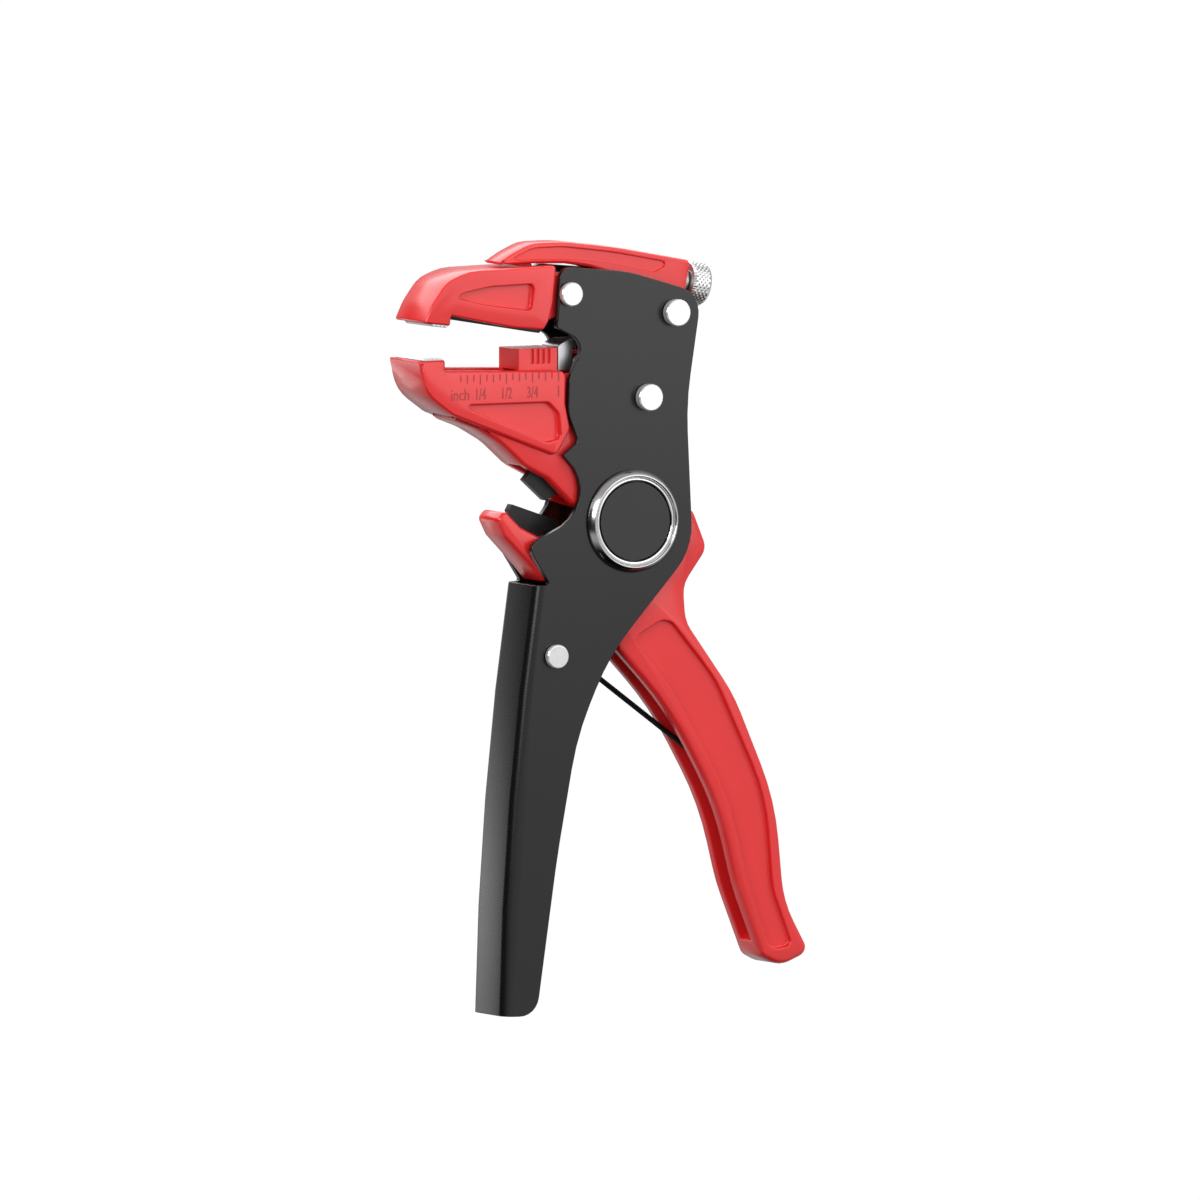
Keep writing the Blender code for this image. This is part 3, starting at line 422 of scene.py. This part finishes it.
FLAT_ANGLE = math.radians(1)
EDGE_ANGLE = math.radians(32)
EDGE_SEGMENTS = 3


def new_piece(name, bm, material):
    """Object at the origin, of a bmesh that is used up."""
    mesh = bpy.data.meshes.new(name)
    bm.to_mesh(mesh)
    bm.free()
    piece = bpy.data.objects.new(name, mesh)
    bpy.context.scene.collection.objects.link(piece)
    piece.data.materials.append(material)
    return piece


def smooth_piece(piece, sharp_angle):
    """Shade a piece smooth, but for edges sharper than an angle."""
    piece.data.shade_smooth()
    piece.data.set_sharp_from_angle(angle=sharp_angle)


def shaped_copy(node, body, material, edge, weld=FINE_WELD):
    """Copy of a CAD solid with its flats merged and its sharp edges rounded."""
    bm = bmesh.new()
    bm.from_mesh(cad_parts[node].data)
    bmesh.ops.remove_doubles(bm, verts=bm.verts, dist=weld)
    bmesh.ops.dissolve_limit(
        bm, angle_limit=FLAT_ANGLE, verts=bm.verts, edges=bm.edges
    )
    bmesh.ops.recalc_face_normals(bm, faces=bm.faces)
    piece = new_piece(f"{node}_skin", bm, material)
    smooth_piece(piece, EDGE_ANGLE)
    if edge:
        rounding = piece.modifiers.new("edge", "BEVEL")
        rounding.width = edge
        rounding.segments = EDGE_SEGMENTS
        rounding.limit_method = "ANGLE"
        rounding.angle_limit = EDGE_ANGLE
        rounding.harden_normals = True
        rounding.use_clamp_overlap = False
    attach(piece, body)
    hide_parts(node)


class OBJECT_OT_stripper_mouldings(bpy.types.Operator):
    """Give the red jaws, lever, handle and strip stop their moulded skins"""

    bl_idname = "object.stripper_mouldings"
    bl_label = "Red mouldings"

    def execute(self, context):
        material = red_moulding()
        edge = finish_settings().moulded_edge
        for node, (body, share, weld) in RED_NODES.items():
            shaped_copy(node, body, material, edge * share, weld)
        return {"FINISHED"}


class OBJECT_OT_stripper_sheet(bpy.types.Operator):
    """Give the folded frame its satin black coat and rolled edges"""

    bl_idname = "object.stripper_sheet"
    bl_label = "Black sheet"

    def execute(self, context):
        edge = finish_settings().sheet_edge
        shaped_copy("frame_body", "frame", black_sheet(), edge)
        return {"FINISHED"}


class OBJECT_OT_stripper_steel(bpy.types.Operator):
    """Finish the blades, grip plates, pins and the draw yoke"""

    bl_idname = "object.stripper_steel"
    bl_label = "Blades and pins"

    def execute(self, context):
        edge = finish_settings().steel_edge
        steel = ground_steel()
        for node, body in STEEL_NODES.items():
            shaped_copy(node, body, steel, edge)
        black = blackened_steel(
            "blade_steel", low=(0.012, 0.012, 0.013), high=(0.03, 0.03, 0.032),
            roughness=0.3,
        )
        for node, body in BLADE_NODES.items():
            shaped_copy(node, body, black, edge)
        return {"FINISHED"}


class OBJECT_OT_stripper_rivets(bpy.types.Operator):
    """Polish the four rivets"""

    bl_idname = "object.stripper_rivets"
    bl_label = "Rivets"

    def execute(self, context):
        chrome = bright_chrome()
        edge = finish_settings().steel_edge
        for node in RIVET_NODES:
            shaped_copy(node, "frame", chrome, edge)
        return {"FINISHED"}


class OBJECT_OT_stripper_pivot(bpy.types.Operator):
    """Turn the pivot's rings with their inner lips and finish the bare caps"""

    bl_idname = "object.stripper_pivot"
    bl_label = "Main pivot"

    def execute(self, context):
        rim = ring_finish()
        plain = cap_finish()
        edge = finish_settings().steel_edge
        for name, side in SIDES.items():
            bm = bmesh.new()
            verts = [
                bm.verts.new((radius * MM, side * (RING_FOOT + height * MM), 0))
                for radius, height in RING_PROFILE
            ]
            edges = [
                bm.edges.new((verts[at - 1], verts[at])) for at in range(len(verts))
            ]
            bmesh.ops.spin(
                bm, geom=verts + edges, cent=(0, 0, 0), axis=(0, 1, 0),
                angle=FULL_TURN, steps=RING_STEPS, use_merge=True,
            )
            bmesh.ops.recalc_face_normals(bm, faces=bm.faces)
            ring = new_piece(f"plated_ring_{name}", bm, rim)
            smooth_piece(ring, RING_SHARP)
            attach(ring, "frame")
            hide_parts(f"pivot_ring_{name}")
            shaped_copy(f"pivot_cap_{name}", "frame", plain, edge)
        return {"FINISHED"}


class OBJECT_OT_stripper_spring(bpy.types.Operator):
    """Blacken the return spring"""

    bl_idname = "object.stripper_spring"
    bl_label = "Return spring"

    def execute(self, context):
        wire = blackened_steel(
            "spring_wire", low=(0.006, 0.006, 0.006), high=(0.02, 0.02, 0.02),
            roughness=0.28,
        )
        shaped_copy("return_spring", "spring", wire, edge=0)
        return {"FINISHED"}


KNOB_TILT = math.radians(11)
KNOB_CENTRE = Vector((18.85, 0, 50.3)) * MM
KNOB_RADIUS = 4.8 * MM
KNOB_HALF = 2.2 * MM
KNOB_CHAMFER = 0.55 * MM
KNOB_FACE_RADIUS = KNOB_RADIUS - 1.4 * MM
KNOB_SHARP = math.radians(20)
DISH_DEPTH = 0.3 * MM
DISH_RADIUS = KNOB_RADIUS - 1.7 * MM
KNURL_DEPTH = 0.32 * MM
KNURL_COUNT = 26
KNURL_ROWS = 7
STEPS_PER_KNURL = 4
MERGE_DISTANCE = 0.001 * MM


def triangle_wave(turns):
    """0 at whole turns and 1 half way between."""
    return 1 - abs(2 * (turns % 1) - 1)


def knob_profile(band):
    """Half of the knob's section, as radius and height. Band is the knurl's half."""
    rows = 2 * KNURL_ROWS
    heights = [band * (2 * row / rows - 1) for row in range(rows + 1)]
    chamfer_radius = KNOB_RADIUS - KNOB_CHAMFER
    return [
        (0, -KNOB_HALF),
        (KNOB_RADIUS - 1.6 * MM, -KNOB_HALF),
        (KNOB_FACE_RADIUS, -KNOB_HALF),
        (chamfer_radius, -KNOB_HALF),
        *((KNOB_RADIUS, height) for height in heights),
        (chamfer_radius, KNOB_HALF),
        (KNOB_FACE_RADIUS, KNOB_HALF),
        (DISH_RADIUS, KNOB_HALF - DISH_DEPTH),
        (0, KNOB_HALF - DISH_DEPTH),
    ]


def cut_knurl(bm, band):
    """Sink the rim into diamonds where two slanting waves cross."""
    for vert in bm.verts:
        on_rim = vert.co.xy.length > KNOB_RADIUS * 0.99
        if on_rim and abs(vert.co.z) <= band + MERGE_DISTANCE:
            around = math.atan2(vert.co.y, vert.co.x) / FULL_TURN * KNURL_COUNT
            along = vert.co.z / (2 * band) * KNURL_ROWS / 2
            height = min(triangle_wave(around + along), triangle_wave(around - along))
            vert.co.xy *= 1 - KNURL_DEPTH * (1 - height) / KNOB_RADIUS


class OBJECT_OT_stripper_knob(bpy.types.Operator):
    """Model the adjusting knob with a diamond knurl between two chamfers"""

    bl_idname = "object.stripper_knob"
    bl_label = "Adjusting knob"

    def execute(self, context):
        bm = bmesh.new()
        band = KNOB_HALF - KNOB_CHAMFER
        verts = [
            bm.verts.new((radius, 0, height)) for radius, height in knob_profile(band)
        ]
        edges = [bm.edges.new(pair) for pair in zip(verts, verts[1:])]
        bmesh.ops.spin(
            bm, geom=verts + edges, cent=(0, 0, 0), axis=(0, 0, 1),
            angle=FULL_TURN, steps=STEPS_PER_KNURL * KNURL_COUNT, use_merge=True,
        )
        bmesh.ops.remove_doubles(bm, verts=bm.verts, dist=MERGE_DISTANCE)
        cut_knurl(bm, band)
        bmesh.ops.recalc_face_normals(bm, faces=bm.faces)
        turn = Matrix.Rotation(QUARTER_TURN + KNOB_TILT, 4, "Y")
        bmesh.ops.transform(
            bm, matrix=Matrix.Translation(KNOB_CENTRE) @ turn, verts=bm.verts
        )
        material = bright_chrome("knob_chrome", roughness=0.16, metallic=0.9)
        knob = new_piece("knurled_knob", bm, material)
        smooth_piece(knob, KNOB_SHARP)
        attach(knob, "adjuster")
        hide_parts("adjusting_knob")
        return {"FINISHED"}


INCH = 25.4 * MM
RULE_STEPS = 16
QUARTER_STEPS = 4
EIGHTH_STEPS = 2
QUARTER_MARK = 2.1 * MM
EIGHTH_MARK = 1.8 * MM
SIXTEENTH_MARK = 1.4 * MM
MARK_WIDTH = 0.24 * MM
JAW_FACE = 7.15 * MM
RELIEF_SINK = 0.05 * MM
# Height of a figure as a share of the font's size.
FONT_CAP = 0.73
LETTER_CURVE_STEPS = 3
# Words, middle in millimetres from the rule's zero, and width as a share of the font's.
RULE_LABELS = (
    ("inch", 1.4, 0.8), ("1/4", 6.35, 0.62), ("1/2", 12.7, 0.62), ("3/4", 19.05, 0.62),
    ("1", 25.4, 0.8),
)


def relief_depth(rule, side):
    """Middle of the marks' thickness, a little of which is sunk in the jaw's side."""
    return side * (JAW_FACE + rule.relief / 2 - RELIEF_SINK)


def mark_length(step):
    """Length of a rule mark, longest at the quarters of an inch."""
    if step % QUARTER_STEPS == 0:
        return QUARTER_MARK
    return EIGHTH_MARK if step % EIGHTH_STEPS == 0 else SIXTEENTH_MARK


def flat_letters(name, words, rule, along, narrow, side, material):
    """Words standing on the jaw's side face, centred on a place along the rule."""
    curve = bpy.data.curves.new(name, "FONT")
    curve.body = words
    curve.size = rule.letter_height / FONT_CAP
    curve.extrude = rule.relief / 2
    curve.align_x = "CENTER"
    curve.resolution_u = LETTER_CURVE_STEPS
    holder = bpy.data.objects.new(name, curve)
    bpy.context.scene.collection.objects.link(holder)
    bpy.context.view_layer.update()
    mesh = bpy.data.meshes.new_from_object(
        holder.evaluated_get(bpy.context.evaluated_depsgraph_get())
    )
    bpy.data.objects.remove(holder)
    turn = Matrix.Rotation(QUARTER_TURN, 4, "X") @ Matrix.Diagonal((narrow, 1, 1, 1))
    if side == FAR_SIDE:
        turn = Matrix.Rotation(math.pi, 4, "Z") @ turn
    spot = (rule.zero + along, relief_depth(rule, side), rule.letter_foot)
    mesh.transform(Matrix.Translation(spot) @ turn)
    bm = bmesh.new()
    bm.from_mesh(mesh)
    bmesh.ops.remove_doubles(bm, verts=bm.verts, dist=MERGE_DISTANCE)
    bmesh.ops.recalc_face_normals(bm, faces=bm.faces)
    piece = new_piece(name, bm, material)
    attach(piece, "frame")


class OBJECT_OT_stripper_rule(bpy.types.Operator):
    """Mould the inch rule's marks and numbers on both sides of the lower jaw"""

    bl_idname = "object.stripper_rule"
    bl_label = "Inch rule"

    def execute(self, context):
        rule = context.scene.stripper_rule
        # The marks and numbers are real relief, and their darker red is painted shade.
        material = red_moulding("rule_red_painted_shade", rule.tone)
        for name, side in SIDES.items():
            bm = bmesh.new()
            for step in range(1, RULE_STEPS + 1):
                length = mark_length(step)
                spot = Vector((
                    rule.zero + INCH * step / RULE_STEPS,
                    relief_depth(rule, side),
                    rule.mark_top - length / 2,
                ))
                size = Matrix.Diagonal((MARK_WIDTH, rule.relief, length, 1))
                bmesh.ops.create_cube(
                    bm, size=1, matrix=Matrix.Translation(spot) @ size
                )
            marks = new_piece(f"rule_marks_{name}", bm, material)
            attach(marks, "frame")
            for number, (words, along, narrow) in enumerate(RULE_LABELS):
                flat_letters(
                    f"rule_label_{number}_{name}", words, rule, along * MM, narrow,
                    side, material,
                )
        return {"FINISHED"}


# Level headings, as parts of a direction's X and Y.
FRONT_RIGHT = (0.469, -0.883)
LEFT = (-0.95, 0.3)
# Where each light of the room starts and is full, as the share of a direction that
# points its way.
LEVEL_BAND = (0.08, 0.16)
LEFT_DARK = (0.3, 0.6)
ABOVE_GROUND = (-0.8, -0.5)
BACK_FLOOR_DOWN = (-0.2, -0.4)
BACK_FLOOR_BACK = (0.0, 0.3)
BACK_WALL_UP = (0.38, 0.42)
BACK_WALL_BACK = (0.1, 0.3)
FRONT_WALL = (0.55, 0.85)
UPPER_FRONT = (0.3, 0.6)
UPPER_FRONT_UP = (0.15, 0.35)
# A trace over full white, so that the ground comes out white.
WHITE_GROUND = 1.02


def studio_world(stage):
    """White to the camera; to the rest a room with bright walls and a dark left."""
    world = bpy.data.worlds.new("studio")
    world.use_nodes = True
    room = NodeTree(world.node_tree)
    facing = room.node("ShaderNodeTexCoord", output="Generated")
    across, along, upward = room.axes(facing)
    front_right = across * FRONT_RIGHT[0] + along * FRONT_RIGHT[1]
    left = across * LEFT[0] + along * LEFT[1]
    level_band = 1.0 - (upward * upward).step(*LEVEL_BAND)
    lit = (1.0 - left.step(*LEFT_DARK) * level_band) * upward.step(*ABOVE_GROUND)
    back_floor = upward.step(*BACK_FLOOR_DOWN) * along.step(*BACK_FLOOR_BACK)
    back_wall = upward.step(*BACK_WALL_UP) * along.step(*BACK_WALL_BACK)
    front_wall = front_right.step(*FRONT_WALL)
    upper_front = front_right.step(*UPPER_FRONT) * upward.step(*UPPER_FRONT_UP)
    level = (
        lit * stage.room
        + back_floor * stage.back_floor
        + back_wall * stage.back_wall
        + front_wall * stage.front_wall
        + upper_front * stage.upper_front
    )
    seen = room.node("ShaderNodeLightPath", output="Is Camera Ray")
    background = room.tree.nodes["Background"]
    background.inputs["Color"].default_value = (1, 1, 1, 1)
    room.fill(background, {"Strength": level + seen * (WHITE_GROUND - level)})
    bpy.context.scene.world = world


# Name, place, point that it faces, width and height, and watts.
SOFT_BOXES = (
    ("front_box", (0.234, -0.44, 0.14), (0, 0, 0.10), (0.4, 0.34), 0.5),
    ("key_box", (-0.75, -0.45, 0.3), (0, 0, -0.02), (0.4, 0.4), 4.0),
    ("low_box", (-0.26, 0.48, -0.08), (-0.02, 0, -0.08), (0.3, 0.08), 0.07),
    ("foot_box", (-0.26, 0.48, -0.16), (-0.02, 0, -0.08), (0.3, 0.16), 0.17),
    ("rise_box", (-0.26, 0.48, 0.0), (-0.02, 0, 0), (0.3, 0.08), 0.02),
)


def soft_lights():
    """Hang every soft box and turn it to its aim."""
    for name, spot, aim, size, power in SOFT_BOXES:
        light = bpy.data.lights.new(name, "AREA")
        light.shape = "RECTANGLE"
        light.size, light.size_y = size
        light.energy = power
        lamp = bpy.data.objects.new(name, light)
        bpy.context.scene.collection.objects.link(lamp)
        lamp.location = spot
        facing = (Vector(aim) - Vector(spot)).to_track_quat("-Z", "Y")
        lamp.rotation_euler = facing.to_euler()


IMAGE_PIXELS = 1200
SENSOR_WIDTH = 36
CLIP_END = 20


def picture_camera(stage):
    """Long-lens camera that puts the main pivot on its pixel of the square picture."""
    turn, rise = stage.azimuth, stage.elevation
    right = Vector((math.cos(turn), math.sin(turn), 0))
    back = Vector((
        math.sin(turn) * math.cos(rise), -math.cos(turn) * math.cos(rise),
        math.sin(rise),
    ))
    up = back.cross(right)
    middle = IMAGE_PIXELS / 2
    across = (middle - stage.pivot_right) / stage.pixels_per_mm * MM
    above = (stage.pivot_down - middle) / stage.pixels_per_mm * MM
    data = bpy.data.cameras.new("picture_camera")
    data.lens = stage.lens
    data.sensor_width = SENSOR_WIDTH
    data.clip_end = CLIP_END
    width = IMAGE_PIXELS / stage.pixels_per_mm * MM
    distance = width * data.lens / data.sensor_width
    camera = bpy.data.objects.new("picture_camera", data)
    bpy.context.scene.collection.objects.link(camera)
    camera.location = right * across + up * above + back * distance
    camera.rotation_euler = Matrix((right, up, back)).transposed().to_euler()
    bpy.context.scene.camera = camera


class OBJECT_OT_stripper_stage(bpy.types.Operator):
    """Set the white studio, soft lights and the camera of the product picture"""

    bl_idname = "object.stripper_stage"
    bl_label = "Stage"

    def execute(self, context):
        stage = context.scene.stripper_stage
        studio_world(stage)
        soft_lights()
        picture_camera(stage)
        context.scene.view_settings.view_transform = "Standard"
        return {"FINISHED"}


OPERATORS = (
    OBJECT_OT_stripper_stage, OBJECT_OT_stripper_sheet, OBJECT_OT_stripper_mouldings,
    OBJECT_OT_stripper_steel, OBJECT_OT_stripper_rivets, OBJECT_OT_stripper_pivot,
    OBJECT_OT_stripper_spring, OBJECT_OT_stripper_knob, OBJECT_OT_stripper_rule,
)
SETTINGS = {
    "stripper_finish": StripperFinish, "stripper_rule": StripperRule,
    "stripper_stage": StripperStage,
}


class VIEW3D_PT_stripper(bpy.types.Panel):
    """Settings and buttons for every group of pieces"""

    bl_label = "Wire Stripper"
    bl_idname = "VIEW3D_PT_stripper"
    bl_space_type = "VIEW_3D"
    bl_region_type = "UI"
    bl_category = "Stripper"

    def draw(self, context):
        for name, group in SETTINGS.items():
            box = self.layout.box()
            for prop in group.__annotations__:
                box.prop(getattr(context.scene, name), prop)
        for operator in OPERATORS:
            self.layout.operator(operator.bl_idname)


def register():
    for group in SETTINGS.values():
        bpy.utils.register_class(group)
    for name, group in SETTINGS.items():
        setattr(bpy.types.Scene, name, bpy.props.PointerProperty(type=group))
    for operator in OPERATORS:
        bpy.utils.register_class(operator)
    bpy.utils.register_class(VIEW3D_PT_stripper)


def unregister():
    bpy.utils.unregister_class(VIEW3D_PT_stripper)
    for operator in reversed(OPERATORS):
        bpy.utils.unregister_class(operator)
    for name in SETTINGS:
        delattr(bpy.types.Scene, name)
    for group in reversed(SETTINGS.values()):
        bpy.utils.unregister_class(group)


def main():
    register()
    bpy.ops.object.stripper_stage()
    bpy.ops.object.stripper_sheet()
    bpy.ops.object.stripper_mouldings()
    bpy.ops.object.stripper_steel()
    bpy.ops.object.stripper_rivets()
    bpy.ops.object.stripper_pivot()
    bpy.ops.object.stripper_spring()
    bpy.ops.object.stripper_knob()
    bpy.ops.object.stripper_rule()


if __name__ == "__main__":
    main()
